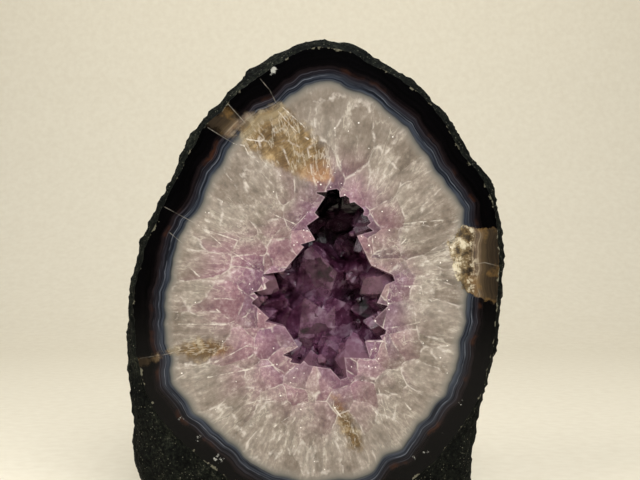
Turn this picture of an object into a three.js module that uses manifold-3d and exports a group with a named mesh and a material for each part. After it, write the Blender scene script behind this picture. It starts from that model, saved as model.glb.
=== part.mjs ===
// Amethyst geode half: a lumpy basalt nodule sawn open and polished on the cut, with its foot sawn flat
// so that it stands, and a hollow in the cut face that is lined with one crust of amethyst points.
// Millimetres. X runs right across the cut face, Y into the stone, Z up from the foot.
import * as THREE from "three";
import { ConvexGeometry } from "three/addons/geometries/ConvexGeometry.js";
import { ImprovedNoise } from "three/addons/math/ImprovedNoise.js";
import { mergeVertices } from "three/addons/utils/BufferGeometryUtils.js";
import Module from "manifold-3d";

const wasm = await Module();
wasm.setup();
const noise = new ImprovedNoise();

// Driving dimensions of the stone. The spokes run out from the middle of the cut face, evenly spaced from
// +X round through +Z: the first list reaches the polished edge, the second the widest girth behind it.
const DEPTH = 78;
const FACE_Y = -DEPTH / 2;
const MIDDLE = new THREE.Vector2(2.6, 110);
const FACE_SPOKES = [
  85, 88, 91.5, 93, 102, 107, 113.5, 103.5, 96, 87.5, 83.5, 85, 87.5, 91, 96, 97.5, 99.5, 104, 107.5, 105.5,
  99.5, 94.5, 90.5, 85.5,
];
const GIRTH_SPOKES = [
  88, 91, 95, 99.5, 106, 112.5, 119, 112, 101.5, 92, 88, 89, 91, 95.5, 106.5, 129, 154, 147, 145, 147,
  136, 106, 94, 88.5,
];
const GIRTH_DEPTH = 9; // of the girth behind the cut face, where the stone hardly flares
const FLARE_DEPTH = 0.6; // more depth for each mm that the girth flares past the polished edge
const BACK_SAG = -14; // the back's crown lies this much below the middle of the face
const LUMP = { size: 27, height: 3.4 };
const KNOB = { size: 10, height: 1.5 };

// Driving dimensions of the hollow and its crust
const HOLLOW_SPOKES = [40, 38, 45, 50, 38, 33, 36.5, 39, 42, 50, 51, 41];
const HOLLOW_DEPTH = 54;
const HOLLOW_FRONT = 6; // the hollow's shape starts this far before the cut face
const HOLLOW_RISE = 28; // the hollow runs upwards as it goes in, so its floor slopes
const CRUST_GAP = 0.3;
const CRUST_WALL = 3.5;

// The crystals that show in the mouth of the hollow. Each row is one crystal: x and z of its tip, its depth
// behind the cut face, the way it points on the face in degrees from +X, its lean out of the stone in degrees
// and its width across the flats.
const MOUTH_CRYSTALS = [
  // sawn along their length
  [4.9, 151.8, 0, 18, 0, 13],
  [2.1, 142.4, 0, -5, 0, 11],
  [0.3, 131.6, 0, -21, 0, 13],
  [-4.9, 128.3, 0, 9, 0, 17],
  [-22.3, 108.6, 0, -29, 0, 14],
  [-26.5, 104.8, 0, 0, 0, 14],
  [-21.4, 94.9, 0, 0, 0, 11],
  [-7.7, 81.3, 0, -15, 0, 14],
  [-10.6, 75.7, 0, 20, 0, 12],
  [16.2, 61.6, 0, -9, 0, 15],
  [10.1, 63, 0, 172, 0, 15],
  [23.8, 84.1, 0, 143, 0, 15],
  [27.5, 93.5, 0, 184, 0, 12],
  [29.4, 102, 0, 205, 0, 12],
  [30.8, 86.5, 0, 160, 0, 12],
  [20, 133.5, 0, 156, 0, 20],
  [24.7, 138.2, 0, 180, 0, 10],
  [22.8, 143.3, 0, 203, 0, 13],
  [16.7, 149, 0, 232, 0, 13],
  [12, 151.8, 0, 235, 0, 8],
  [5.9, 154.2, 0, 322, 0, 11],
  [1.2, 153.7, 0, 350, 0, 9],
  // whole, just behind the cut
  [18, 138.3, 13, 205, 10, 13],
  [12.9, 116.4, 22, 185, 20, 20],
  [21.7, 105.8, 8, 205, 15, 17],
  [23.1, 92.9, 8, 170, 10, 13],
  [18.4, 87.1, 9, 98, 0, 19],
  [-1.7, 79.3, 6, 84, 5, 17],
  [1.6, 85.7, 20, 90, 20, 19],
  [-16.9, 107.8, 6, -30, 0, 12],
  [-22.1, 104.5, 6, 10, 0, 9],
  [-10.8, 120.6, 8, -5, 0, 11],
  // the large ones on the slope at the back
  [-1.8, 128.2, 22, 108, 46, 35],
  [-4.2, 103.1, 14, 84, 44, 40],
  [9, 123.2, 27, 70, 50, 22],
  [11.3, 102.5, 17, 75, 50, 26],
  [6.5, 84.3, 14, 100, 30, 16],
];
const CRYSTAL_LENGTH = 30;

// The rest of the lining, in rings: depth behind the cut face, how many around, and their width.
const WALL_RINGS = [
  { depth: 13, count: 9, width: 14 },
  { depth: 24, count: 10, width: 16 },
  { depth: 35, count: 9, width: 18 },
  { depth: 46, count: 6, width: 18 },
];

// Quartz: a pyramid face stands at this angle to the crystal's long axis.
const PYRAMID_ANGLE = THREE.MathUtils.degToRad(38.2);

// A number from 0 to 1 that only depends on the seed.
function chance(seed) {
  const x = Math.sin(seed * 12.9898) * 43758.5453;
  return x - Math.floor(x);
}

// The spokes as a smooth closed curve: the radius at an angle.
function radiusAt(spokes, angle) {
  const turn = THREE.MathUtils.euclideanModulo(angle / (2 * Math.PI), 1) * spokes.length;
  const i = Math.floor(turn);
  const [a, b, c, d] = [-1, 0, 1, 2].map((k) => spokes[(i + k + spokes.length) % spokes.length]);
  const t = turn - i;
  return b + 0.5 * t * (c - a + t * (2 * a - 5 * b + 4 * c - d + t * (3 * (b - c) + d - a)));
}

// A ball whose rows of points, from the back pole to the front pole, are set by place(angle, share of rows).
function shapedBall(around, rows, place) {
  const ball = new THREE.SphereGeometry(1, around, rows);
  const position = ball.getAttribute("position");
  for (let i = 0; i < position.count; i++) {
    const row = Math.floor(i / (around + 1));
    const angle = Math.PI - (2 * Math.PI * (i % (around + 1))) / around;
    const p = place(angle, row / rows);
    position.setXYZ(i, p.x, p.y, p.z);
  }
  return ball;
}

function solidOf(geometry) {
  const bare = geometry.clone();
  bare.deleteAttribute("normal");
  bare.deleteAttribute("uv");
  const merged = mergeVertices(bare, 1e-4);
  const triVerts = new Uint32Array(merged.index.array);
  const vertProperties = merged.getAttribute("position").array;
  return new wasm.Manifold(new wasm.Mesh({ numProp: 3, vertProperties, triVerts }));
}

function geometryOf(solid) {
  const { vertProperties, triVerts } = solid.getMesh();
  const geometry = new THREE.BufferGeometry();
  geometry.setAttribute("position", new THREE.BufferAttribute(vertProperties, 3));
  geometry.setIndex(new THREE.BufferAttribute(triVerts, 1));
  geometry.computeVertexNormals();
  return geometry;
}

function block(width, depth, height, x, y, z) {
  return solidOf(new THREE.BoxGeometry(width, depth, height).translate(x, y, z));
}

// Knobs and lumps of the natural outside at a point, as a distance along the spoke.
function lumps(x, y, z) {
  const broad = noise.noise(x / LUMP.size + 7, y / LUMP.size, z / LUMP.size);
  const small = noise.noise(x / KNOB.size, y / KNOB.size + 3, z / KNOB.size);
  return LUMP.height * broad + KNOB.height * small;
}

// The whole stone before its hollow: the last row but one is the polished edge, and the front pole lies in
// the cut face.
function nodule() {
  const around = 80;
  const rows = 23;
  const edgeRow = (rows - 1) / rows;
  const girthRow = 0.72;
  const stone = shapedBall(around, rows, (angle, share) => {
    const face = radiusAt(FACE_SPOKES, angle);
    const girth = radiusAt(GIRTH_SPOKES, angle);
    const girthDepth = GIRTH_DEPTH + FLARE_DEPTH * (girth - face);
    let radius = 0;
    let depth = 0;
    if (share <= girthRow) {
      const turn = (share / girthRow) * (Math.PI / 2);
      radius = girth * Math.sin(turn) ** 0.85;
      depth = girthDepth + (DEPTH - girthDepth) * Math.cos(turn) ** 0.9;
    } else if (share <= edgeRow + 1e-9) {
      const back = (edgeRow - share) / (edgeRow - girthRow);
      radius = face + (girth - face) * Math.sin((back * Math.PI) / 2);
      depth = girthDepth * back ** 1.25;
    }
    const inwards = depth / DEPTH;
    const sag = BACK_SAG * inwards ** 2;
    const at = (r) => new THREE.Vector3(
      MIDDLE.x + r * Math.cos(angle), FACE_Y + depth, MIDDLE.y + sag + r * Math.sin(angle),
    );
    const plain = at(radius);
    const roughness = Math.min(1, 0.35 + depth / 20) * Math.min(1, radius / 20);
    return at(radius + roughness * lumps(plain.x, plain.y, plain.z));
  });
  return solidOf(stone);
}

// A point of the hollow's wall, moved inwards by inset, at a depth behind the cut face. The wall begins
// before the face and closes at the hollow's full depth.
function wallPoint(angle, depth, inset) {
  const inwards = (depth + HOLLOW_FRONT) / (HOLLOW_DEPTH + HOLLOW_FRONT);
  const radius = (radiusAt(HOLLOW_SPOKES, angle) - inset) * Math.sqrt(Math.max(0, 1 - inwards ** 2));
  const rise = HOLLOW_RISE * Math.max(0, depth / HOLLOW_DEPTH) ** 1.4;
  const x = MIDDLE.x + radius * Math.cos(angle);
  const y = FACE_Y + depth - inset * inwards;
  const z = MIDDLE.y + rise + radius * Math.sin(angle);
  return new THREE.Vector3(x, y, z);
}

function hollow(inset, around, rows) {
  const ball = shapedBall(around, rows, (angle, share) => {
    const inwards = Math.max(0, Math.cos((share * rows * Math.PI) / (2 * (rows - 1))));
    const wall = wallPoint(angle, (HOLLOW_DEPTH + HOLLOW_FRONT) * inwards - HOLLOW_FRONT, inset);
    return share < 1 ? wall : new THREE.Vector3(MIDDLE.x, wall.y, MIDDLE.y);
  });
  return solidOf(ball);
}

// One quartz crystal as the space inside its planes: six prism faces, six pyramid faces that meet at the
// tip, unevenly as in nature, and a root. width is across the flats, along points from root to tip, and
// uneven is how far the pyramid faces stand out past the tip, as a share of the width.
function crystal(tip, along, width, length, uneven, seed) {
  const side = new THREE.Vector3(0, 0, 1).cross(along);
  if (side.length() < 0.1) side.set(1, 0, 0).cross(along);
  side.normalize();
  const up = along.clone().cross(side);
  const roll = chance(seed) * Math.PI;
  const planes = [new THREE.Plane(along.clone().negate(), -length)];
  for (let i = 0; i < 6; i++) {
    const turn = roll + (i * Math.PI) / 3;
    const out = side.clone().multiplyScalar(Math.cos(turn)).addScaledVector(up, Math.sin(turn));
    const flat = (width / 2) * (0.88 + 0.24 * chance(seed + 10 + i));
    planes.push(new THREE.Plane(out, -flat));
    const slope = out.clone().multiplyScalar(Math.cos(PYRAMID_ANGLE));
    slope.addScaledVector(along, Math.sin(PYRAMID_ANGLE));
    const late = i % 2 ? uneven : 0.1 * uneven;
    planes.push(new THREE.Plane(slope, -width * late * chance(seed + 20 + i)));
  }
  const corners = [];
  const lines = new THREE.Matrix3();
  for (let a = 0; a < planes.length; a++) {
    for (let b = a + 1; b < planes.length; b++) {
      for (let c = b + 1; c < planes.length; c++) {
        const [p, q, r] = [planes[a], planes[b], planes[c]];
        lines.set(...p.normal.toArray(), ...q.normal.toArray(), ...r.normal.toArray());
        if (Math.abs(lines.determinant()) < 1e-6) continue;
        const corner = new THREE.Vector3(-p.constant, -q.constant, -r.constant).applyMatrix3(lines.invert());
        if (planes.every((plane) => plane.distanceToPoint(corner) < 1e-4)) corners.push(corner.add(tip));
      }
    }
  }
  return solidOf(new ConvexGeometry(corners));
}

// The crust: a thin lining of the hollow with the crystals grown together on it, sawn off at the cut face.
function crust() {
  const grown = [];
  MOUTH_CRYSTALS.forEach(([x, z, depth, pointing, lean, width], i) => {
    const flat = THREE.MathUtils.degToRad(pointing);
    const out = THREE.MathUtils.degToRad(lean);
    const along = new THREE.Vector3(
      Math.cos(flat) * Math.cos(out), -Math.sin(out), Math.sin(flat) * Math.cos(out),
    );
    const tip = new THREE.Vector3(x, FACE_Y + depth, z);
    const uneven = depth ? 0.2 : 0.03;
    grown.push(crystal(tip, along, width, CRYSTAL_LENGTH, uneven, 3 * i + 1));
  });
  WALL_RINGS.forEach(({ depth, count, width }, ring) => {
    for (let i = 0; i < count; i++) {
      const seed = 100 * (ring + 2) + i;
      const angle = ((i + 0.5 * (ring % 2) + 0.5 * chance(seed)) * 2 * Math.PI) / count;
      const at = depth + 5 * (chance(seed + 31) - 0.5);
      const root = wallPoint(angle, at, 0);
      const alongWall = wallPoint(angle, at + 1, 0).sub(wallPoint(angle, at - 1, 0));
      const aroundWall = wallPoint(angle + 0.03, at, 0).sub(wallPoint(angle - 0.03, at, 0));
      const inward = aroundWall.cross(alongWall).normalize();
      const sway = [41, 42, 43].map((k) => 0.7 * (chance(seed + k) - 0.5));
      const along = inward.add(new THREE.Vector3(...sway)).normalize();
      const across = width * (0.75 + 0.5 * chance(seed + 51));
      const height = CRUST_WALL + across * (0.5 + 0.35 * chance(seed + 61));
      grown.push(crystal(root.addScaledVector(along, height), along, across, height, 0.2, seed));
    }
  });
  const room = hollow(CRUST_GAP, 36, 9);
  const lining = room.subtract(hollow(CRUST_GAP + CRUST_WALL, 18, 6));
  const behindFace = block(400, 200, 400, 0, FACE_Y + 100, 110);
  return grown.reduce((a, b) => a.add(b), lining).intersect(room).intersect(behindFace);
}

const foot = block(400, 400, 200, 0, 0, -100);
const pieces = {
  geode_shell: { solid: nodule().subtract(foot).subtract(hollow(0, 36, 9)), color: 0x9b9185 },
  amethyst_crust: { solid: crust(), color: 0x8a5f82 },
};

const geode = new THREE.Group();
for (const [name, { solid, color }] of Object.entries(pieces)) {
  const material = new THREE.MeshStandardMaterial({ color, roughness: 0.25, metalness: 0 });
  const mesh = new THREE.Mesh(geometryOf(solid), material);
  mesh.name = name;
  geode.add(mesh);
}
export default geode;
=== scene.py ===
# An amethyst geode half: a nodule from basalt, sawn open with its cut polished, standing on a sawn foot.
# Its hollow is lined with amethyst. Lengths are in millimetres until a mesh is made.
import math
import random

import bmesh
import bpy
import numpy as np
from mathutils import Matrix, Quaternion, Vector, geometry, noise


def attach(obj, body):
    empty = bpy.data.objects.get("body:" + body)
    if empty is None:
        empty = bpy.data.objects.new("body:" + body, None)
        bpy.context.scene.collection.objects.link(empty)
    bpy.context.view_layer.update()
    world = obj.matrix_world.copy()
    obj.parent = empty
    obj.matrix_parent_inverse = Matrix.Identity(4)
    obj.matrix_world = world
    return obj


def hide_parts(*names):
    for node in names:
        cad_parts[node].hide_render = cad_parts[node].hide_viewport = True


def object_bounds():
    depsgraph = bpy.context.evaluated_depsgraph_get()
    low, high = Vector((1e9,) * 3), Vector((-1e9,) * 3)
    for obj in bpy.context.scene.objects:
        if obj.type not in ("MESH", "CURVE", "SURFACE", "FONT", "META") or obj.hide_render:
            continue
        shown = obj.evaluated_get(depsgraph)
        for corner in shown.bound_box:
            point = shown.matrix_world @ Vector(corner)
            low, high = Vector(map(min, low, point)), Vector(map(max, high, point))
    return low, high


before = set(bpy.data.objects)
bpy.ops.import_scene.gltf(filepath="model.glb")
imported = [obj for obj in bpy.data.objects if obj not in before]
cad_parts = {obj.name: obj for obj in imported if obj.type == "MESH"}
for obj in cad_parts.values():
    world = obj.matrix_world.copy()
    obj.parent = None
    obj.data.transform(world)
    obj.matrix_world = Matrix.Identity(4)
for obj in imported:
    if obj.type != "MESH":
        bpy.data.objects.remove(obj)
cad_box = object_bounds()

# The rough outside of the stone: the weathered basalt rind around the gas bubble in which the quartz grew.
# It is left as it came out of the ground, green-black, knobbly and pitted, up to the edge of the saw cut.
# The foot under it is sawn flat, so that the half stands by itself.
MM = 0.001
CUT_Y = cad_box[0].y / MM
KNOB_SIZE = 13
KNOB_HEIGHT = 1.5
GRIT_SIZE = 4.2
GRIT_HEIGHT = 1.5
GRIT_MIDDLE = 0.35
SINK = 0.8  # keeps the grit inside the size of the stone
TOUCHING = 1e-3  # nearer than this is in the same plane


def working_copy(node):
    """A CAD node as a bmesh in mm, with the corners that the file format splits joined again."""
    bm = bmesh.new()
    bm.from_mesh(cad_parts[node].data)
    bmesh.ops.scale(bm, vec=Vector((1, 1, 1)) / MM, verts=bm.verts)
    bmesh.ops.remove_doubles(bm, verts=bm.verts, dist=1e-4)
    return bm


def in_cut(face):
    return all(abs(v.co.y - CUT_Y) < TOUCHING for v in face.verts)


def on_foot(face):
    return all(abs(v.co.z) < TOUCHING for v in face.verts)


def joined_to(start):
    """All points that can be reached from one along edges."""
    found, ahead = {start}, [start]
    while ahead:
        for edge in ahead.pop().link_edges:
            new = [v for v in edge.verts if v not in found]
            found.update(new)
            ahead += new
    return found


def rounded(bm, levels):
    """The mesh rounded by subdivision."""
    mesh = bpy.data.meshes.new("rounding")
    bm.to_mesh(mesh)
    carrier = bpy.data.objects.new("rounding", mesh)
    bpy.context.scene.collection.objects.link(carrier)
    carrier.modifiers.new("rounding", "SUBSURF").levels = levels
    bm = bmesh.new()
    bm.from_object(carrier, bpy.context.evaluated_depsgraph_get())
    bpy.data.objects.remove(carrier)
    bpy.data.meshes.remove(mesh)
    return bm


def linear(hex_colour):
    """An sRGB hex colour as the linear values that shaders take."""
    parts = [int(hex_colour[i:i + 2], 16) / 255 for i in (1, 3, 5)]
    return tuple(c / 12.92 if c <= 0.04045 else ((c + 0.055) / 1.055) ** 2.4 for c in parts) + (1,)


def put(tree, kind, sockets=None, stops=(), **settings):
    """Adds a node. sockets maps inputs to values or to what feeds them, and stops fill its colour ramp."""
    node = tree.nodes.new("ShaderNode" + kind)
    for name, value in settings.items():
        setattr(node, name, value)
    for key, value in (sockets or {}).items():
        named = [s for s in node.inputs if s.enabled and s.name == key]
        socket = named[0] if named else node.inputs[key]
        if isinstance(value, bpy.types.Node):
            value = next(s for s in value.outputs if s.enabled)
        if isinstance(value, bpy.types.NodeSocket):
            tree.links.new(value, socket)
        else:
            socket.default_value = value
    for i, (place, colour) in enumerate(stops):
        stop = node.color_ramp.elements[i] if i < 2 else node.color_ramp.elements.new(place)
        stop.position = place
        stop.color = linear(colour)
    return node


def new_finish(name, **constants):
    """A material with the shader's constant sockets set, its node tree and its shader."""
    material = bpy.data.materials.new(name)
    material.use_nodes = True
    shader = material.node_tree.nodes["Principled BSDF"]
    for socket, value in constants.items():
        shader.inputs[socket.replace("_", " ")].default_value = value
    return material, material.node_tree, shader


def new_piece(name, points, faces, finishes, node):
    """A piece of the stone from points in mm, which replaces a CAD node and rides with it."""
    mesh = bpy.data.meshes.new(name)
    mesh.from_pydata(np.asarray(points) * MM, [], faces)
    for finish in finishes:
        mesh.materials.append(finish)
    piece = bpy.data.objects.new(name, mesh)
    bpy.context.scene.collection.objects.link(piece)
    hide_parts(node)
    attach(piece, "root")
    return piece


# Weathered basalt: dull and green-black, paler on its high grains, with small pale specks painted in as
# glints.
basalt, tree, shader = new_finish("weathered basalt", Roughness=0.8, Specular_IOR_Level=0.08)
place = put(tree, "TexCoord").outputs["Object"]
patches = put(tree, "TexNoise", {"Vector": place, "Scale": 1 / (16 * MM), "Detail": 3})
grain = put(tree, "TexNoise", {"Vector": place, "Scale": 1 / (1.6 * MM), "Detail": 4, "Roughness": 0.65})
patches = put(
    tree, "MapRange", {"Value": patches, "From Min": 0.3, "From Max": 0.7, "To Min": 0.4, "To Max": 0.56}
)
tone = put(tree, "Math", {0: grain, 1: patches}, operation="MULTIPLY")
colour = put(tree, "ValToRGB", {0: tone}, [
    (0.16, "#010201"), (0.22, "#080a08"), (0.28, "#141712"), (0.34, "#292b23"), (0.42, "#5c5c4e"),
])
# Painted glints: a few small cells are painted as pale specks.
glint_cells = put(tree, "TexVoronoi", {"Vector": place, "Scale": 1 / (0.9 * MM)})
few = put(tree, "SeparateColor", {0: glint_cells.outputs["Color"]})
few = put(tree, "MapRange", {"Value": few, "From Min": 0.8, "From Max": 1, "To Max": 0.8})
spot = put(tree, "MapRange", {"Value": glint_cells, "From Min": 0.34, "From Max": 0.16})
painted_glint_speck = put(tree, "Math", {0: few, 1: spot}, operation="MULTIPLY")
colour = put(tree, "Mix", {"Factor": painted_glint_speck, "A": colour, "B": linear("#8f8e7c")}, data_type="RGBA")
tree.links.new(colour.outputs[2], shader.inputs["Base Color"])
rough = put(tree, "Bump", {"Height": grain, "Strength": 0.9, "Distance": 1.2 * MM})
tree.links.new(rough.outputs[0], shader.inputs["Normal"])

shell = working_copy("geode_shell")
bmesh.ops.delete(shell, geom=[f for f in shell.faces if in_cut(f) or on_foot(f)], context="FACES")
shell.verts.index_update()
outside = joined_to(max(shell.verts, key=lambda v: v.co.z))
outside_numbers = {v.index for v in outside}
wall = shell.copy()
wall.verts.index_update()
bmesh.ops.delete(wall, geom=[v for v in wall.verts if v.index in outside_numbers], context="VERTS")
bmesh.ops.delete(shell, geom=[v for v in shell.verts if v not in outside], context="VERTS")
bmesh.ops.join_triangles(
    shell, faces=shell.faces, angle_face_threshold=math.radians(40), angle_shape_threshold=math.radians(70)
)
rind = rounded(shell, 2)
rind.normal_update()
steps = []
for v in rind.verts:
    knob = noise.fractal(v.co / KNOB_SIZE, 0.9, 2.0, 3, noise_basis="PERLIN_NEW")
    near = noise.voronoi(v.co / GRIT_SIZE)[0]
    step = v.normal * (KNOB_HEIGHT * knob + GRIT_HEIGHT * (near[1] - near[0] - GRIT_MIDDLE) - SINK)
    if abs(v.co.y - CUT_Y) < TOUCHING:
        step.y = 0
    if abs(v.co.z) < TOUCHING:
        step.z = 0
    steps.append(step)
for v, step in zip(rind.verts, steps):
    v.co += step

beside = {}
for edge in rind.edges:
    if edge.is_boundary and all(abs(v.co.z) < TOUCHING for v in edge.verts):
        for v in edge.verts:
            beside.setdefault(v.index, []).append(edge.other_vert(v).index)
foot = [next(iter(beside))]
while len(foot) < len(beside):
    foot.append(next(i for i in beside[foot[-1]] if i not in foot[-2:] and i != foot[0]))
rind_faces = [[v.index for v in f.verts] for f in rind.faces]
outside_piece = new_piece(
    "rough_outside", [v.co for v in rind.verts], rind_faces + [foot], [basalt], "geode_shell"
)
outside_piece.data.polygons.foreach_set("use_smooth", [True] * len(rind_faces) + [False])

# The polished face, from the rind inwards: a black rim, a band of blue-grey agate that formed first,
# and quartz in long crystals that grew inwards and turn to amethyst at their tips. It was ground flat after
# sawing and polished to a gloss, so all of this is only colour. Cracks have let yellow-brown stains in.
NET = 1.1  # between the points of the face
FAR = 100  # from every marking
BANDED = 25  # width of the zones along the rim
CRYSTAL_ROOT_RADIUS = 60
RAYS_PARTED = ((25, 52), (0.8, 0))  # distances from the middle, and how much rays keep apart there
MIDDLE_LINE = np.array([((4.5, 113.7), (2.6, 87.0))])
STAINS = (  # each with its lumpiness and its corners in x and z
    (0.1, ((-56, 187), (-42, 198), (-32, 187), (-38, 177))),
    (0.2, ((-38, 190), (-14, 198), (6, 176), (11, 158), (1, 157), (-15, 163), (-34, 174))),
    (1.0, ((62, 131), (69, 138), (94, 136), (94, 99), (77, 104), (69, 108), (66, 118))),
    (0.6, ((-88, 76), (-77, 77.5), (-68, 79), (-73, 74.5), (-80, 72), (-88, 71))),
    (0.3, ((-73, 79), (-55, 87), (-36, 83), (-40, 77), (-55, 73))),
    (0.3, ((7, 60), (12, 59), (19, 48), (26, 33), (17, 30), (9, 47))),
)
CRACKS = (  # lines of points in x and z, as are the seams
    ((-26, 208), (-21, 202), (-18, 196)),
    ((-41, 196), (-32, 186)),
    ((-51, 185), (-43, 180), (-38, 177)),
    ((-72, 148), (-59, 141), (-55, 139)),
    ((-68, 135), (-62, 130)),
    ((-82, 76), (-69, 78), (-63, 80), (-54, 81)),
    ((92, 118), (80, 121), (73, 120)),
)
EYES = (  # x, z and size
    (-19, 211, 2.2), (-45, 29, 1.8), (-63, 48, 0.8), (-60, 45, 0.6), (-54, 38, 1), (69, 56, 1), (62, 45, 0.8),
    (60, 42, 0.5), (52, 33, 0.9), (46, 28, 0.7),
)
CRYSTAL_SEAMS = (
    ((-38, 177), (-33, 176), (-31, 172), (-26, 168)),
    ((-32, 179), (-25, 178), (-23, 180), (-24, 182)),
    ((-17, 192), (-9, 183), (-3, 179)),
    ((-15, 194), (-6, 186), (2, 177)),
    ((-55, 139), (-50, 136), (-41, 133), (-35, 131), (-28, 132)),
    ((-55, 139), (-42, 128), (-31, 121), (-25, 116), (-23, 108), (-27, 106)),
    ((-27, 149), (-20, 144), (-9, 139)),
    ((-40, 114), (-37, 110), (-32, 106), (-27, 103)),
    ((-47, 104), (-41, 104), (-34, 103)),
    ((-46, 99), (-41, 95)),
    ((-64, 92), (-50, 92), (-41, 92), (-32, 96), (-29, 101)),
    ((-58, 118), (-49, 110)),
    ((27, 134), (28, 125), (37, 125), (41, 130), (43, 132)),
    ((41, 139), (49, 140), (61, 141), (57, 136)),
    ((37, 110), (50, 110), (51, 106), (55, 103), (59, 104)),
    ((32, 90), (41, 91), (54, 94)),
    ((-65, 74), (-59, 73), (-50, 72)),
    ((-47, 74), (-39, 78), (-32, 82), (-27, 81), (-29, 73)),
    ((-50, 67), (-35, 70), (-19, 73)),
    ((-19, 44), (-11, 49), (-9, 48), (-17, 37), (-16, 43)),
    ((-36, 53), (-27, 56), (-20, 57)),
    ((9, 56), (9, 53), (13, 48), (17, 46), (19, 39), (19, 34)),
    ((23, 58), (30, 49)),
    ((30, 62), (34, 48)),
    ((33, 61), (41, 57), (45, 52)),
    ((25, 84), (32, 84), (34, 83)),
)


def cut_edges(bm):
    """The open edges of a mesh that lie in the cut plane, each as its two (x, z) ends."""
    flat = [e for e in bm.edges if e.is_boundary and all(abs(v.co.y - CUT_Y) < TOUCHING for v in e.verts)]
    return np.array([[(v.co.x, v.co.z) for v in e.verts] for e in flat])


def inside(points, edges):
    """Which points the closed edges go around."""
    (ax, az), (bx, bz) = edges[:, 0].T, edges[:, 1].T
    px, pz = points[:, :1], points[:, 1:]
    rise = np.where(bz == az, 1e-9, bz - az)
    return (((az > pz) != (bz > pz)) & (px < ax + (pz - az) * (bx - ax) / rise)).sum(1) % 2 == 1


def distance(points, edges):
    """How far each point is from the nearest edge."""
    a, run = edges[:, 0], edges[:, 1] - edges[:, 0]
    nearest = []
    for p in np.array_split(points[:, None], 1 + len(points) // 2000):
        share = np.clip(((p - a) * run).sum(2) / (run**2).sum(1), 0, 1)
        nearest.append(np.linalg.norm(p - a - share[..., None] * run, axis=2).min(1))
    return np.concatenate(nearest)


def as_edges(lines):
    return np.array([pair for line in lines for pair in zip(line[:-1], line[1:])], float)


def short_edges(edges):
    """The edges in steps no longer than the net."""
    short = []
    for a, b in edges:
        stops = np.linspace(a, b, 1 + math.ceil(np.linalg.norm(b - a) / NET))
        short += list(zip(stops[:-1], stops[1:]))
    return np.array(short)


def plate(borders, marks):
    """An even net of triangles over what the borders enclose in the cut plane, with edges along the marks."""
    borders, marks = short_edges(borders), short_edges(marks)
    ends = marks.reshape(-1, 2)
    clear = (inside(ends, borders) & (distance(ends, borders) > 0.4 * NET)).reshape(-1, 2).all(1)
    edges = np.concatenate((borders, marks[clear]))
    low, high = borders.min((0, 1)), borders.max((0, 1))
    x, z = np.meshgrid(np.arange(low[0], high[0], NET), np.arange(low[1], high[1], 0.866 * NET))
    x[::2] += NET / 2
    net = np.stack((x.ravel(), z.ravel()), 1)
    net = net[inside(net, borders)]
    net = net[distance(net, edges) > 0.5 * NET]
    points, order = np.unique(edges.reshape(-1, 2).round(4), axis=0, return_inverse=True)
    points = [Vector(p) for p in np.concatenate((points, net))]
    flat = geometry.delaunay_2d_cdt(points, order.reshape(-1, 2).tolist(), [], 0, 1e-4)
    points, triangles = np.array(flat[0]), np.array(flat[2])
    return points, triangles[inside(points[triangles].mean(1), borders)]


def in_cut_plane(points):
    return np.insert(points, 1, CUT_Y, axis=1)


def growth(points):
    """Where a point's ray of growth starts on the agate, drawn round, and how far along it the point is.
    Towards the hollow fewer crystals are left, so the rays hardly draw together there."""
    (a, b), = MIDDLE_LINE
    share = np.clip((points - a) @ (b - a) / ((b - a) @ (b - a)), 0, 1)
    middle = a + share[:, None] * (b - a)
    along = np.linalg.norm(points - middle, axis=1)[:, None]
    parted = np.interp(along, *RAYS_PARTED)
    radius = CRYSTAL_ROOT_RADIUS * (1 - parted) + along * parted
    return np.concatenate((middle + radius * (points - middle) / np.maximum(along, 1e-6), along), 1)


def keep_markings(piece, points, first):
    """Stores at the face's points, which start at number first, what the polished finish is drawn from.
    Points off the face get the value for plain amethyst, which comes last in each row."""
    depths = []
    for _, corners in STAINS:
        outline = as_edges([corners + corners[:1]])
        depths.append(distance(points, outline) * np.where(inside(points, outline), 1, -1))
    deepest = np.argmax(depths, axis=0)
    for name, values, elsewhere in (
        ("from_rim", distance(points, rim_edges), FAR),
        ("from_mouth", distance(points, mouth_edges), 0),
        ("from_crack", distance(points, as_edges(CRACKS)), FAR),
        ("from_seam", distance(points, as_edges(CRYSTAL_SEAMS)), FAR),
        ("from_eye", np.min([np.hypot(*(points - (x, z)).T) - size for x, z, size in EYES], axis=0), FAR),
        ("in_stain", np.max(depths, axis=0), -FAR),
        ("lumpy", np.array([lumpiness for lumpiness, _ in STAINS])[deepest], 0),
        ("growth", growth(points), 0),
    ):
        kind, key = ("FLOAT", "value") if values.ndim == 1 else ("FLOAT_VECTOR", "vector")
        whole = np.full((len(piece.data.vertices),) + values.shape[1:], elsewhere, np.float32)
        whole[first:first + len(points)] = values
        piece.data.attributes.new(name, kind, "POINT").data.foreach_set(key, whole.ravel())


# Polished agate and quartz: glossy, with its depth drawn as cloudy flakes, pale crystal seams and glints.
polished, tree, shader = new_finish("polished agate and quartz", IOR=1.54, Specular_IOR_Level=0.1)
from_rim, from_mouth, from_crack, from_seam, from_eye, in_stain, lumpy = (
    put(tree, "Attribute", attribute_name=name).outputs["Fac"]
    for name in ("from_rim", "from_mouth", "from_crack", "from_seam", "from_eye", "in_stain", "lumpy")
)
rays = put(tree, "Attribute", attribute_name="growth").outputs["Vector"]
place = put(tree, "TexCoord").outputs["Object"]
ragged = put(tree, "TexNoise", {"Vector": place, "Scale": 1 / (3 * MM), "Detail": 3})

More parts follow.
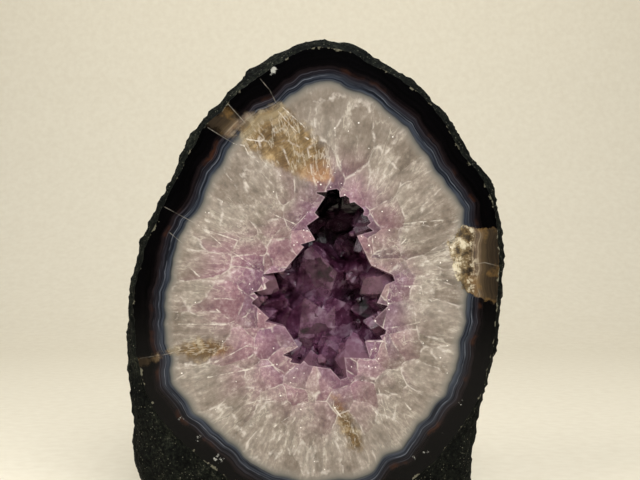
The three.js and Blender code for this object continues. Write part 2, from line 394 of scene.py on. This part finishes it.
# Its agate: a black rim, then brown and blue parts with fine lines, moved in and out by rounded scallops.
roots = put(tree, "VectorMath", {0: rays, 1: (1, 1, 0)}, operation="MULTIPLY")
scallops = put(
    tree, "TexVoronoi", {"Vector": roots, "Scale": 1 / 10, "Smoothness": 0.35}, feature="SMOOTH_F1"
)
swell = put(tree, "TexNoise", {"Vector": roots, "Scale": 1 / 34, "Detail": 1})
depth = put(tree, "Math", {0: scallops, 1: 4.5, 2: from_rim}, operation="MULTIPLY_ADD")
depth = put(tree, "Math", {0: swell, 1: 6, 2: depth}, operation="MULTIPLY_ADD")
lower_left = put(tree, "VectorMath", {0: roots, 1: (-0.7, -0.7, 0)}, operation="DOT_PRODUCT").outputs["Value"]
thinner = put(
    tree, "MapRange", {"Value": lower_left, "From Min": -26, "From Max": -12, "To Min": -5, "To Max": -3}
)
depth = put(tree, "Math", {0: depth, 1: thinner}, operation="ADD")
share = put(tree, "MapRange", {"Value": depth, "From Max": BANDED})
bands = put(tree, "ValToRGB", {0: share}, [
    (0, "#020203"), (6.8 / BANDED, "#040304"), (8.2 / BANDED, "#120d0e"), (9.2 / BANDED, "#1e1819"),
    (10.6 / BANDED, "#262328"), (11.8 / BANDED, "#2a2b31"), (13 / BANDED, "#2e323a"),
    (14.4 / BANDED, "#393e48"), (15.1 / BANDED, "#474a4d"), (15.9 / BANDED, "#605e59"),
    (17.2 / BANDED, "#77726a"), (19.5 / BANDED, "#867f75"), (22 / BANDED, "#8f877c"),
])
line_place = put(tree, "CombineXYZ", {"Z": depth})
line_place = put(tree, "VectorMath", {0: roots, 1: (0.05, 0.05, 0), 2: line_place}, operation="MULTIPLY_ADD")
fine_lines = put(tree, "TexNoise", {"Vector": line_place, "Scale": 1 / 0.8, "Detail": 2})
line_tone = put(tree, "ValToRGB", {0: fine_lines}, [(0.36, "#8e8e92"), (0.5, "#d0d0d4"), (0.62, "#ffffff")])
in_agate = put(tree, "MapRange", {"Value": depth, "From Min": 16, "From Max": 15})
bands = put(
    tree, "Mix", {"Factor": in_agate, "A": bands, "B": line_tone}, data_type="RGBA", blend_type="MULTIPLY"
)
faint = put(tree, "TexNoise", {"Vector": roots, "Scale": 1 / 7, "Detail": 2})
faint = put(tree, "MapRange", {"Value": faint, "From Min": 0.35, "From Max": 0.65, "To Max": 0.7})
pale_line = put(tree, "ValToRGB", {0: share}, [
    (10 / BANDED, "#000000"), (10.2 / BANDED, "#8c8c8c"), (10.5 / BANDED, "#000000"),
    (12.4 / BANDED, "#000000"), (12.7 / BANDED, "#ffffff"), (13 / BANDED, "#000000"),
])
pale_line = put(tree, "Math", {0: pale_line, 1: faint}, operation="MULTIPLY")
bands = put(tree, "Mix", {"Factor": pale_line, "A": bands, "B": linear("#71757f")}, data_type="RGBA")
rust_run = put(tree, "TexNoise", {"Vector": roots, "Scale": 1 / 9, "Detail": 2})
rust_run = put(tree, "MapRange", {"Value": rust_run, "From Min": 0.54, "From Max": 0.66, "To Max": 0.5})
rust_depth = put(tree, "Math", {0: ragged, 1: 3, 2: depth}, operation="MULTIPLY_ADD")
rust_depth = put(tree, "Math", {0: rust_depth, 1: 10.8}, operation="SUBTRACT")
rust_depth = put(tree, "Math", {0: rust_depth}, operation="ABSOLUTE")
rust_depth = put(tree, "MapRange", {"Value": rust_depth, "From Min": 1.5, "From Max": 0.1})
rust = put(tree, "Math", {0: rust_run, 1: rust_depth}, operation="MULTIPLY")
bands = put(tree, "Mix", {"Factor": rust, "A": bands, "B": linear("#432718")}, data_type="RGBA")

# Its quartz: short flakes and crumbs, long soft streaks along the crystals, and broad clouds over them.
short_rays = put(tree, "VectorMath", {0: rays, 1: (1, 1, 0.35)}, operation="MULTIPLY")
short_flakes = put(tree, "TexNoise", {"Vector": short_rays, "Scale": 1 / 2.2, "Detail": 4, "Roughness": 0.65})
long_rays = put(tree, "VectorMath", {0: rays, 1: (1, 1, 0.12)}, operation="MULTIPLY")
streaks = put(tree, "TexNoise", {"Vector": long_rays, "Scale": 1 / 5, "Detail": 2})
crumbs = put(tree, "TexNoise", {"Vector": place, "Scale": 1 / (2.2 * MM), "Detail": 3, "Roughness": 0.65})
flakes = put(tree, "Math", {0: streaks, 1: 0.6, 2: short_flakes}, operation="MULTIPLY_ADD")
flakes = put(tree, "Math", {0: crumbs, 1: 0.7, 2: flakes}, operation="MULTIPLY_ADD")
flakes = put(tree, "MapRange", {"Value": flakes, "From Min": 0.65, "From Max": 1.65})
quartz = put(tree, "ValToRGB", {0: flakes}, [
    (0.28, "#857d75"), (0.42, "#938a81"), (0.54, "#9d938a"), (0.66, "#aca39a"), (0.8, "#cbc4bc"),
])
crystal_rays = put(tree, "VectorMath", {0: rays, 1: (1, 1, 0.4)}, operation="MULTIPLY")
bent = put(tree, "TexNoise", {"Vector": crystal_rays, "Scale": 1 / 9, "Detail": 3}).outputs["Color"]
bend = put(
    tree, "MapRange", {"Value": from_mouth, "From Min": 12, "From Max": 28, "To Min": 2.5, "To Max": 8}
)
crystal_rays = put(tree, "VectorMath", {0: bent, 1: bend, 2: crystal_rays}, operation="MULTIPLY_ADD")
crystals = put(tree, "TexVoronoi", {"Vector": crystal_rays, "Scale": 1 / 14})
tones = put(tree, "SeparateColor", {0: crystals.outputs["Color"]})
clouds = put(tree, "TexNoise", {"Vector": place, "Scale": 1 / (12 * MM), "Detail": 4, "Roughness": 0.6})
light = put(tree, "Math", {0: tones, 1: 0.2, 2: clouds}, operation="MULTIPLY_ADD")
# Painted light and shade: each crystal is lighter on its upper left, darker opposite, less so away from the
# hollow.
side = put(tree, "VectorMath", {0: crystal_rays, 1: crystals.outputs["Position"]}, operation="SUBTRACT")
side = put(tree, "VectorMath", {0: side, 1: (-0.012, 0.022, 0)}, operation="DOT_PRODUCT").outputs["Value"]
flatter = put(
    tree, "MapRange", {"Value": from_mouth, "From Min": 10, "From Max": 30, "To Min": 1, "To Max": 0.4}
)
light = put(tree, "Math", {0: side, 1: flatter, 2: light}, operation="MULTIPLY_ADD")
shade = put(tree, "ValToRGB", {0: light}, [(0.36, "#bfb9b2"), (0.6, "#e6e2dd"), (0.84, "#fffefb")])
quartz = put(tree, "Mix", {"Factor": 1, "A": quartz, "B": shade}, data_type="RGBA", blend_type="MULTIPLY")
# The quartz is darker towards the top.
height = put(tree, "SeparateXYZ", {0: place}).outputs["Z"]
darker_towards_top = put(tree, "MapRange", {"Value": height, "From Min": 160 * MM, "From Max": 205 * MM, "To Max": 0.55})
quartz = put(tree, "Mix", {"Factor": darker_towards_top, "A": quartz, "B": linear("#675d52")}, data_type="RGBA")
in_quartz = put(
    tree, "MapRange", {"Value": depth, "From Min": 15.6, "From Max": 21}, interpolation_type="SMOOTHSTEP"
)
body = put(tree, "Mix", {"Factor": in_quartz, "A": bands, "B": quartz}, data_type="RGBA")

# Its amethyst: the crystals turn violet towards the hollow, some sooner and deeper than others.
sooner = put(tree, "TexNoise", {"Vector": crystal_rays, "Scale": 1 / 16, "Detail": 3})
sooner = put(tree, "Math", {0: tones.outputs[1], 1: 0.5, 2: sooner}, operation="MULTIPLY_ADD")
# Painted shade: the violet reaches further on each crystal's shaded side.
sooner = put(tree, "Math", {0: side, 1: -0.5, 2: sooner}, operation="MULTIPLY_ADD")
leftward = put(tree, "VectorMath", {0: rays, 1: (-0.15, -0.06, 0)}, operation="DOT_PRODUCT").outputs["Value"]
tipward = put(tree, "Math", {0: sooner, 1: 26, 2: leftward}, operation="MULTIPLY_ADD")
tipward = put(tree, "Math", {0: tipward, 1: from_mouth}, operation="SUBTRACT")
violet_share = put(
    tree, "MapRange", {"Value": tipward, "From Min": -14, "From Max": 17, "To Max": 0.95},
    interpolation_type="SMOOTHSTEP",
)
violet = put(tree, "ValToRGB", {0: flakes}, [
    (0.28, "#8b6878"), (0.42, "#977380"), (0.54, "#a27f8a"), (0.66, "#b0919b"), (0.8, "#ccb7be"),
])
# The violet takes the same tone and painted light and shade as the quartz.
violet = put(tree, "Mix", {"Factor": 0.8, "A": violet, "B": shade}, data_type="RGBA", blend_type="MULTIPLY")
body = put(tree, "Mix", {"Factor": violet_share, "A": body, "B": violet}, data_type="RGBA")
deep = put(tree, "MapRange", {"Value": from_mouth, "From Min": 14, "From Max": 2, "To Max": 0.9})
some = put(tree, "MapRange", {"Value": tones.outputs[2], "From Min": 0.3, "From Max": 0.7})
deep = put(tree, "Math", {0: deep, 1: some}, operation="MULTIPLY")
body = put(
    tree, "Mix", {"Factor": deep, "A": body, "B": linear("#c6bdd3")}, data_type="RGBA", blend_type="MULTIPLY"
)

# Its stains: brown in the agate, ochre in the quartz, orange at the hollow, and lumpy where it is weathered.
lumps = put(tree, "TexNoise", {"Vector": place, "Scale": 1 / (4 * MM), "Detail": 4, "Roughness": 0.65})
ochre = put(tree, "ValToRGB", {0: share}, [
    (0, "#2a2116"), (5 / BANDED, "#362b1d"), (7.5 / BANDED, "#4d3f2c"), (9 / BANDED, "#685743"),
    (9.6 / BANDED, "#8f806b"), (10.2 / BANDED, "#705f4e"), (11.4 / BANDED, "#7d6c5b"),
    (12 / BANDED, "#9c8d79"), (12.6 / BANDED, "#766651"), (15 / BANDED, "#8b7a5c"),
    (17 / BANDED, "#9a896a"), (23 / BANDED, "#a49475"),
])
in_quartz_stain = put(
    tree, "Mix", {"Factor": 1, "A": body, "B": linear("#e4c88f")}, data_type="RGBA", blend_type="MULTIPLY"
)
plain = put(tree, "MapRange", {"Value": lumpy, "From Min": 0.9, "From Max": 0.3})
plain = put(tree, "Math", {0: plain, 1: in_quartz}, operation="MULTIPLY")
ochre = put(tree, "Mix", {"Factor": plain, "A": ochre, "B": in_quartz_stain}, data_type="RGBA")
ochre = put(tree, "Mix", {"Factor": 0.5, "A": ochre, "B": line_tone}, data_type="RGBA", blend_type="MULTIPLY")
golden = put(tree, "MapRange", {"Value": clouds, "From Min": 0.5, "From Max": 0.62, "To Max": 0.6})
golden = put(tree, "Math", {0: golden, 1: in_agate}, operation="MULTIPLY")
ochre = put(tree, "Mix", {"Factor": golden, "A": ochre, "B": linear("#7d5f33")}, data_type="RGBA")
orange = put(tree, "MapRange", {"Value": from_mouth, "From Min": 16, "From Max": 2, "To Max": 0.85})
ochre = put(tree, "Mix", {"Factor": orange, "A": ochre, "B": linear("#b98c66")}, data_type="RGBA")
lump_tone = put(tree, "ValToRGB", {0: lumps}, [
    (0.36, "#43392b"), (0.43, "#8d8069"), (0.5, "#d3c9b5"), (0.6, "#ffffff"),
])
lump_share = put(tree, "MapRange", {"Value": depth, "From Min": 9, "From Max": 13, "To Max": 0.95})
lump_share = put(tree, "Math", {0: lump_share, 1: lumpy}, operation="MULTIPLY")
ochre = put(
    tree, "Mix", {"Factor": lump_share, "A": ochre, "B": lump_tone}, data_type="RGBA", blend_type="MULTIPLY"
)
pale = put(tree, "MapRange", {"Value": lumps, "From Min": 0.53, "From Max": 0.63, "To Max": 0.9})
pale = put(tree, "Math", {0: pale, 1: lump_share}, operation="MULTIPLY")
ochre = put(tree, "Mix", {"Factor": pale, "A": ochre, "B": linear("#d6cbb0")}, data_type="RGBA")
edge = put(tree, "Math", {0: lumps, 1: 8, 2: in_stain}, operation="MULTIPLY_ADD")
soft = put(tree, "MapRange", {"Value": lumpy, "To Min": 9, "To Max": 4.6})
stained = put(
    tree, "MapRange", {"Value": edge, "From Min": 3.6, "From Max": soft, "To Max": 0.9},
    interpolation_type="SMOOTHSTEP",
)
body = put(tree, "Mix", {"Factor": stained, "A": body, "B": ochre}, data_type="RGBA")

# Its cracks and crystal seams are thin, pale and broken.
broken = put(tree, "TexNoise", {"Vector": place, "Scale": 1 / (5 * MM), "Detail": 4, "Roughness": 0.6})
crack = put(tree, "MapRange", {"Value": from_crack, "From Min": 0.3, "From Max": 0})
strength = put(
    tree, "MapRange", {"Value": broken, "From Min": 0.4, "From Max": 0.65, "To Min": 0.06, "To Max": 0.5}
)
crack = put(tree, "Math", {0: crack, 1: strength}, operation="MULTIPLY")
body = put(tree, "Mix", {"Factor": crack, "A": body, "B": linear("#aca598")}, data_type="RGBA")
strength = put(tree, "MapRange", {"Value": broken, "From Min": 0.4, "From Max": 0.6, "To Max": 0.8})
wander = put(tree, "Math", {0: ragged, 1: 1.8, 2: -0.8}, operation="MULTIPLY_ADD")
wander = put(tree, "Math", {0: wander, 1: from_seam}, operation="ADD")
wander = put(tree, "Math", {0: wander}, operation="ABSOLUTE")
seam = put(tree, "MapRange", {"Value": wander, "From Min": 0.45, "From Max": 0.05})
seam = put(tree, "Math", {0: seam, 1: strength}, operation="MULTIPLY")
body = put(tree, "Mix", {"Factor": seam, "A": body, "B": linear("#e2dace")}, data_type="RGBA")
borders = put(tree, "TexVoronoi", {"Vector": crystal_rays, "Scale": 1 / 14}, feature="DISTANCE_TO_EDGE")
hair = put(tree, "MapRange", {"Value": borders, "From Min": 0.04, "From Max": 0.005, "To Max": 0.6})
patchy = put(tree, "MapRange", {"Value": broken, "From Min": 0.46, "From Max": 0.6})
hair = put(tree, "Math", {0: hair, 1: patchy}, operation="MULTIPLY")
hair = put(tree, "Math", {0: hair, 1: in_quartz}, operation="MULTIPLY")
body = put(tree, "Mix", {"Factor": hair, "A": body, "B": linear("#d3cac0")}, data_type="RGBA")
wisp_rays = put(tree, "VectorMath", {0: rays, 1: (1, 1, 0.3)}, operation="MULTIPLY")
wisps = put(tree, "TexNoise", {"Vector": wisp_rays, "Scale": 1 / 6, "Detail": 4, "Roughness": 0.6})
wisps = put(tree, "Math", {0: wisps, 1: 0.5}, operation="SUBTRACT")
wisps = put(tree, "Math", {0: wisps}, operation="ABSOLUTE")
wisps = put(tree, "MapRange", {"Value": wisps, "From Min": 0.03, "To Max": 1, "From Max": 0})
patchy = put(tree, "MapRange", {"Value": clouds, "From Min": 0.45, "From Max": 0.65, "To Max": 0.45})
in_tint = put(tree, "Math", {0: stained, 1: 0.38}, operation="MULTIPLY")
patchy = put(tree, "Math", {0: patchy, 1: in_tint}, operation="MAXIMUM")
wisps = put(tree, "Math", {0: wisps, 1: patchy}, operation="MULTIPLY")
wisps = put(tree, "Math", {0: wisps, 1: in_quartz}, operation="MULTIPLY")
body = put(tree, "Mix", {"Factor": wisps, "A": body, "B": linear("#d8d0c0")}, data_type="RGBA")

# Its glints are small and white: single in the quartz, crowded on bruised tips, and as eyes in the black rim.
glints = put(tree, "TexVoronoi", {"Vector": place, "Scale": 1 / (1.6 * MM)})
pick = put(tree, "SeparateColor", {0: glints.outputs["Color"]})
bruised = put(tree, "TexNoise", {"Vector": place, "Scale": 1 / (11 * MM), "Detail": 1})
bruised = put(tree, "Math", {0: bruised, 1: 26, 2: 9}, operation="MULTIPLY_ADD")
bruised = put(tree, "Math", {0: bruised, 1: from_mouth}, operation="SUBTRACT")
few = put(
    tree, "MapRange", {"Value": bruised, "From Min": 16, "From Max": 23, "To Min": 0.975, "To Max": 0.72}
)
few = put(tree, "Math", {0: pick, 1: few}, operation="GREATER_THAN")
size = put(tree, "MapRange", {"Value": pick.outputs[1], "To Min": 0.05, "To Max": 0.25})
glint_edge = put(tree, "Math", {0: crumbs, 1: 0.5, 2: glints}, operation="MULTIPLY_ADD")
glint_edge = put(tree, "Math", {0: glint_edge, 1: 0.25}, operation="SUBTRACT")
spot = put(tree, "Math", {0: glint_edge, 1: size}, operation="LESS_THAN")
glint = put(tree, "Math", {0: few, 1: spot}, operation="MULTIPLY")
glint = put(tree, "Math", {0: glint, 1: in_quartz}, operation="MULTIPLY")
body = put(tree, "Mix", {"Factor": glint, "A": body, "B": linear("#efe9e2")}, data_type="RGBA")
eye = put(tree, "Math", {0: crumbs, 1: 11, 2: from_eye}, operation="MULTIPLY_ADD")
eye = put(tree, "MapRange", {"Value": eye, "From Min": 5, "From Max": 3.8, "To Max": 0.8})
body = put(tree, "Mix", {"Factor": eye, "A": body, "B": linear("#b4b3ab")}, data_type="RGBA")
chipped = put(tree, "Math", {0: broken, 1: 9, 2: -4.9}, operation="MULTIPLY_ADD")
chipped = put(tree, "Math", {0: chipped, 1: from_rim}, operation="SUBTRACT")
chipped = put(tree, "MapRange", {"Value": chipped, "From Max": 0.4, "To Max": 0.8})
body = put(tree, "Mix", {"Factor": chipped, "A": body, "B": linear("#6b6858")}, data_type="RGBA")
rim_edge = put(tree, "MapRange", {"Value": from_mouth, "From Min": 0.6, "From Max": 0.1, "To Max": 0.2})
body = put(tree, "Mix", {"Factor": rim_edge, "A": body, "B": linear("#d3bdc3")}, data_type="RGBA")
tree.links.new(body.outputs[2], shader.inputs["Base Color"])
dull = put(tree, "MapRange", {"Value": stained, "To Min": 0.14, "To Max": 0.4})
tree.links.new(dull.outputs[0], shader.inputs["Roughness"])

crust = working_copy("amethyst_crust")
bmesh.ops.delete(crust, geom=[f for f in crust.faces if in_cut(f)], context="FACES")
crust.verts.index_update()
crust_edges = cut_edges(crust)
rim_edges = cut_edges(rind)
on_wall = distance(crust_edges.mean(1), cut_edges(wall)) < 1
seam_edges, mouth_edges = crust_edges[on_wall], crust_edges[~on_wall]
marks = as_edges(CRACKS + CRYSTAL_SEAMS)
face_points, face_triangles = plate(np.concatenate((rim_edges, seam_edges)), marks)
wall.verts.index_update()
wall_points = [v.co for v in wall.verts]
wall_faces = [[v.index for v in f.verts] for f in wall.faces]
face_piece = new_piece(
    "polished_face", np.concatenate((wall_points, in_cut_plane(face_points))),
    wall_faces + (face_triangles + len(wall_points)).tolist(), [polished], "geode_shell",
)
keep_markings(face_piece, face_points, len(wall_points))

# The amethyst crust: quartz points, coloured violet by iron, that grew side by side on the wall of the hollow
# and into each other, with small points on the large ones. Those at the mouth were sawn through and polished
# with the face.
SMALL_POINTS = 120
SMALL_POINT_SIZES = (1, 2.8)
SMALL_POINT_LEAN = 0.5
SMALL_POINT_SEED = 4
PRISM_LENGTH = 0.5  # this and the next two are shares of a small point's size
POINT_LENGTH = 1.5
TIP_OFF_AXIS = 0.3
CLEAR_OF_CUT = 0.5
HOLLOW_MIDDLE = Vector((4, -15, 105))

# Amethyst: clear with milky clouds, smooth on its facets, palest at the cut, with painted shade high in the
# hollow.
amethyst, tree, shader = new_finish(
    "amethyst", IOR=1.54, Roughness=0.25, Specular_IOR_Level=0.2, Transmission_Weight=0.5
)
place = put(tree, "TexCoord").outputs["Object"]
clouds = put(tree, "TexNoise", {"Vector": place, "Scale": 1 / (7 * MM), "Detail": 5, "Roughness": 0.6})
facets = put(tree, "TexVoronoi", {"Vector": place, "Scale": 1 / (7 * MM)}, distance="MANHATTAN")
tones = put(tree, "SeparateColor", {0: facets.outputs["Color"]})
tone = put(tree, "Math", {0: tones, 1: 0.22, 2: clouds}, operation="MULTIPLY_ADD")
violet = put(tree, "ValToRGB", {0: tone}, [
    (0.36, "#1a0912"), (0.46, "#431b33"), (0.57, "#673854"), (0.7, "#8a5d7a"), (0.84, "#b596ab"),
])
# Painted shade: the points high in the hollow are darkened almost to black.
height = put(tree, "SeparateXYZ", {0: place}).outputs["Z"]
height = put(tree, "MapRange", {"Value": height, "From Min": 128 * MM, "From Max": 150 * MM, "To Max": 0.94})
violet = put(tree, "Mix", {"Factor": height, "A": violet, "B": linear("#0a0508")}, data_type="RGBA")
behind_cut = put(tree, "SeparateXYZ", {0: place}).outputs["Y"]
pale = put(tree, "MapRange", {
    "Value": behind_cut, "From Min": (CUT_Y + 10) * MM, "From Max": CUT_Y * MM, "To Max": 0.75,
})
violet = put(tree, "Mix", {"Factor": pale, "A": violet, "B": linear("#96707e")}, data_type="RGBA")
tree.links.new(violet.outputs[2], shader.inputs["Base Color"])
small_faces = put(tree, "Bump", {"Height": facets, "Strength": 0.2, "Distance": 2 * MM})
tree.links.new(small_faces.outputs[0], shader.inputs["Normal"])

cut_points, cut_triangles = plate(crust_edges, marks)
crust_points = [v.co for v in crust.verts]
crust_faces = [[v.index for v in f.verts] for f in crust.faces]
lining = []
for face in crust.faces:
    centre = face.calc_center_median()
    if face.normal.dot(HOLLOW_MIDDLE - centre) > 0 and centre.y > CUT_Y + SMALL_POINT_SIZES[1]:
        lining.append(face)
chance = random.Random(SMALL_POINT_SEED)
for face in chance.choices(lining, [f.calc_area() for f in lining], k=SMALL_POINTS):
    shares = [chance.random() for _ in face.verts]
    foot = sum((s * v.co for s, v in zip(shares, face.verts)), Vector()) / sum(shares)
    lean = Vector([chance.uniform(-SMALL_POINT_LEAN, SMALL_POINT_LEAN) for _ in range(3)])
    way = (face.normal + lean).normalized()
    size = chance.uniform(*SMALL_POINT_SIZES)
    across = size * way.orthogonal().normalized()
    arms = [Quaternion(way, math.radians(60 * i)) @ across for i in range(6)]
    shoulder = foot + PRISM_LENGTH * size * way
    corners = [foot - way + arm for arm in arms] + [shoulder + arm for arm in arms]
    corners.append(foot + POINT_LENGTH * size * way + TIP_OFF_AXIS * chance.choice(arms))
    if min(v.y for v in corners) < CUT_Y + CLEAR_OF_CUT:
        continue
    first = len(crust_points)
    crust_points += corners
    crust_faces.append([first + 5 - i for i in range(6)])
    for i in range(6):
        j = (i + 1) % 6
        crust_faces.append([first + i, first + j, first + 6 + j, first + 6 + i])
        crust_faces.append([first + 6 + i, first + 6 + j, first + 12])
crust_piece = new_piece(
    "amethyst_points", np.concatenate((crust_points, in_cut_plane(cut_points))),
    crust_faces + (cut_triangles + len(crust_points)).tolist(), [amethyst, polished],
    "amethyst_crust",
)
crust_piece.data.polygons.foreach_set("material_index", [0] * len(crust_faces) + [1] * len(cut_triangles))
keep_markings(crust_piece, cut_points, len(crust_points))

# The floor is a plain pale sheet that bends up far behind the stone.
FLOOR_FRONT = -2500
FLOOR_BACK = 750
FLOOR_SIDE = 2500
BEND = 500
TOP = 2200
turns = [math.radians(15 * i) for i in range(7)]
profile = [(FLOOR_FRONT, 0)]
profile += [(FLOOR_BACK + BEND * math.sin(t), BEND - BEND * math.cos(t)) for t in turns]
profile.append((FLOOR_BACK + BEND, TOP))
sheet = bpy.data.meshes.new("floor")
sheet.from_pydata(
    [(x * MM, y * MM, z * MM) for x in (-FLOOR_SIDE, FLOOR_SIDE) for y, z in profile], [],
    [(i, i + len(profile), i + len(profile) + 1, i + 1) for i in range(len(profile) - 1)],
)
sheet.polygons.foreach_set("use_smooth", [True] * len(sheet.polygons))
paper, tree, shader = new_finish("matt cream paper", Roughness=0.8)
place = put(tree, "TexCoord").outputs["Object"]
fibre = put(tree, "TexNoise", {"Vector": place, "Scale": 1 / (8 * MM), "Detail": 3})
cream = put(tree, "ValToRGB", {0: fibre}, [(0.3, "#e2dac6"), (0.7, "#e8e1ce")])
tree.links.new(cream.outputs[0], shader.inputs["Base Color"])
sheet.materials.append(paper)
floor = bpy.data.objects.new("floor", sheet)
bpy.context.scene.collection.objects.link(floor)

# The light is soft, from two large panels above the front and one over the paper, in a dim room.
MIDDLE = (0, 0, 110)
for name, place, aim, size, power in (
    ("key light", (250, -850, 780), MIDDLE, 600, 11),
    ("side light", (-650, -600, 700), MIDDLE, 600, 5),
    ("paper light", (0, 250, 1500), (0, 1100, 300), 900, 12.6),
):
    panel = bpy.data.lights.new(name, "AREA")
    panel.size = size * MM
    panel.energy = power
    light = bpy.data.objects.new(name, panel)
    light.location = Vector(place) * MM
    light.rotation_euler = (Vector(aim) - Vector(place)).to_track_quat("-Z", "Y").to_euler()
    bpy.context.scene.collection.objects.link(light)
room = bpy.data.worlds.new("room")
room.use_nodes = True
room.node_tree.nodes["Background"].inputs["Color"].default_value = linear("#e6dfd0")
room.node_tree.nodes["Background"].inputs["Strength"].default_value = 0.1
bpy.context.scene.world = room
bpy.context.scene.view_settings.view_transform = "Standard"

# The camera stands level before the cut, where the photograph was taken.
VIEW_DISTANCE = 520
VIEW_WIDTH = 300.8
VIEW_X = 2.6
VIEW_HEIGHT = 131.6
lens = bpy.data.cameras.new("camera")
lens.sensor_width = 36
lens.lens = lens.sensor_width * VIEW_DISTANCE / VIEW_WIDTH
camera = bpy.data.objects.new("camera", lens)
camera.location = Vector((VIEW_X, CUT_Y - VIEW_DISTANCE, VIEW_HEIGHT)) * MM
camera.rotation_euler = (math.pi / 2, 0, 0)
bpy.context.scene.collection.objects.link(camera)
bpy.context.scene.camera = camera
